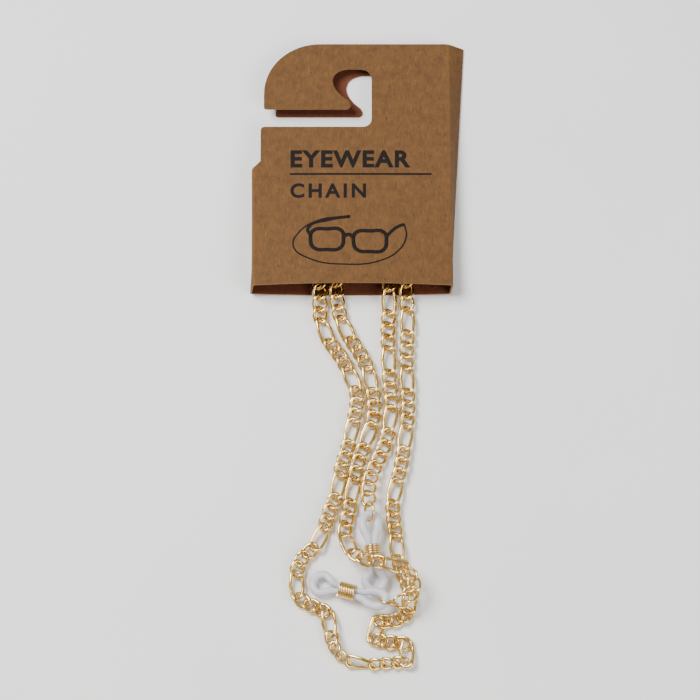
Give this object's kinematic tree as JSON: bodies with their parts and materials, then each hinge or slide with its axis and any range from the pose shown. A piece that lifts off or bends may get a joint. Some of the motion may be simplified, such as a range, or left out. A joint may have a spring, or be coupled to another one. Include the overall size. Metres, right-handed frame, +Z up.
{
  "type": "eyeglasses chain strap",
  "caption": "Figaro chain strap for spectacles with a silicone temple loop and wire coil slider at each end, folded into a kraft board hanger sleeve with a hook hole.",
  "frame": {"origin": "on the flat outside of the sleeve's back panel, on the table, near the panel's middle", "axes": "+Z up from the table; +Y from the sleeve's mouth towards its hook hole; +X to the right seen from above"},
  "size_m": [0.0573, 0.1728, 0.0082],
  "materials": {
    "kraft_board": "uncoated brown kraft board, matt and lightly fibrous",
    "gold_plate": "polished yellow-gold plating",
    "silicone": "clear silicone, slightly milky, satin",
    "clear_film": "clear adhesive tape"
  },
  "bodies": {
    "card": {"hanger_card": "kraft_board"},
    "strap": {"chain_run_1": "gold_plate", "chain_fold_1": "gold_plate", "chain_run_2": "gold_plate", "chain_run_3": "gold_plate", "chain_fold_2": "gold_plate", "chain_run_4": "gold_plate", "clear_tape": "clear_film"},
    "link_a4": {"link_a4": "gold_plate"},
    "link_a3": {"link_a3": "gold_plate"},
    "link_a2": {"link_a2": "gold_plate"},
    "link_a1": {"link_a1": "gold_plate"},
    "ring_a": {"jump_ring_a": "gold_plate"},
    "grip_a": {"silicone_loop_a": "silicone"},
    "slider_a": {"coil_slider_a": "gold_plate"},
    "link_b4": {"link_b4": "gold_plate"},
    "link_b3": {"link_b3": "gold_plate"},
    "link_b2": {"link_b2": "gold_plate"},
    "link_b1": {"link_b1": "gold_plate"},
    "ring_b": {"jump_ring_b": "gold_plate"},
    "grip_b": {"silicone_loop_b": "silicone"},
    "slider_b": {"coil_slider_b": "gold_plate"}
  },
  "joints": [
    {"name": "strap_pull", "type": "slide", "parent": "card", "child": "strap", "axis": [0, -1, 0], "range_m": [0, 0.045]},
    {"name": "link_a4_lift", "type": "hinge", "parent": "strap", "child": "link_a4", "pos_m": [0.01188, -0.10128, 0.00563], "axis": [-0.9978, 0.0659, 0], "range_deg": [0, 12]},
    {"name": "link_a3_lift", "type": "hinge", "parent": "link_a4", "child": "link_a3", "pos_m": [0.01453, -0.10393, 0.0055], "axis": [-0.9875, 0.1574, 0], "range_deg": [0, 12]},
    {"name": "link_a2_lift", "type": "hinge", "parent": "link_a3", "child": "link_a2", "pos_m": [0.0148, -0.10701, 0.00539], "axis": [-0.9647, 0.2633, 0], "range_deg": [0, 12]},
    {"name": "link_a1_lift", "type": "hinge", "parent": "link_a2", "child": "link_a1", "pos_m": [0.01302, -0.10955, 0.00528], "axis": [-0.9305, 0.3664, 0], "range_deg": [0, 12]},
    {"name": "ring_a_lift", "type": "hinge", "parent": "link_a1", "child": "ring_a", "pos_m": [0.0094, -0.11052, 0.00515], "axis": [0.3256, 0.9455, 0], "range_deg": [0, 18]},
    {"name": "grip_a_lift", "type": "hinge", "parent": "ring_a", "child": "grip_a", "pos_m": [0.00738, -0.10982, 0.00477], "axis": [0.3256, 0.9455, 0], "range_deg": [0, 50]},
    {"name": "slider_a_slide", "type": "slide", "parent": "grip_a", "child": "slider_a", "axis": [-0.9309, 0.3205, -0.1754], "range_m": [-0.0025, 0.002], "deforming": ["silicone_loop_a"]},
    {"name": "link_b4_swing", "type": "hinge", "parent": "strap", "child": "link_b4", "pos_m": [0.00555, -0.07102, 0.00122], "axis": [0, 0, 1], "range_deg": [-8, 8]},
    {"name": "link_b3_swing", "type": "hinge", "parent": "link_b4", "child": "link_b3", "pos_m": [0.00417, -0.07444, 0.00187], "axis": [0, 0, 1], "range_deg": [-8, 8]},
    {"name": "link_b2_swing", "type": "hinge", "parent": "link_b3", "child": "link_b2", "pos_m": [0.00344, -0.07736, 0.00262], "axis": [0, 0, 1], "range_deg": [-8, 8]},
    {"name": "link_b1_swing", "type": "hinge", "parent": "link_b2", "child": "link_b1", "pos_m": [0.00318, -0.08037, 0.00332], "axis": [0, 0, 1], "range_deg": [-8, 8]},
    {"name": "ring_b_swing", "type": "hinge", "parent": "link_b1", "child": "ring_b", "pos_m": [0.00324, -0.08404, 0.0041], "axis": [0, 0, 1], "range_deg": [-6, 6]},
    {"name": "grip_b_swing", "type": "hinge", "parent": "ring_b", "child": "grip_b", "pos_m": [0.00341, -0.08619, 0.00385], "axis": [0, 0, 1], "range_deg": [-6, 6]},
    {"name": "slider_b_slide", "type": "slide", "parent": "grip_b", "child": "slider_b", "axis": [0.0762, -0.9908, -0.1115], "range_m": [-0.0025, 0.002], "deforming": ["silicone_loop_b"]}
  ],
  "couplings": [
    {"joint": "link_b3_swing", "follows": "link_b4_swing", "ratio": -1},
    {"joint": "link_b2_swing", "follows": "link_b4_swing", "ratio": -1},
    {"joint": "link_b1_swing", "follows": "link_b4_swing", "ratio": 1},
    {"joint": "ring_b_swing", "follows": "link_b4_swing", "ratio": 0.75},
    {"joint": "grip_b_swing", "follows": "link_b4_swing", "ratio": -0.75}
  ]
}
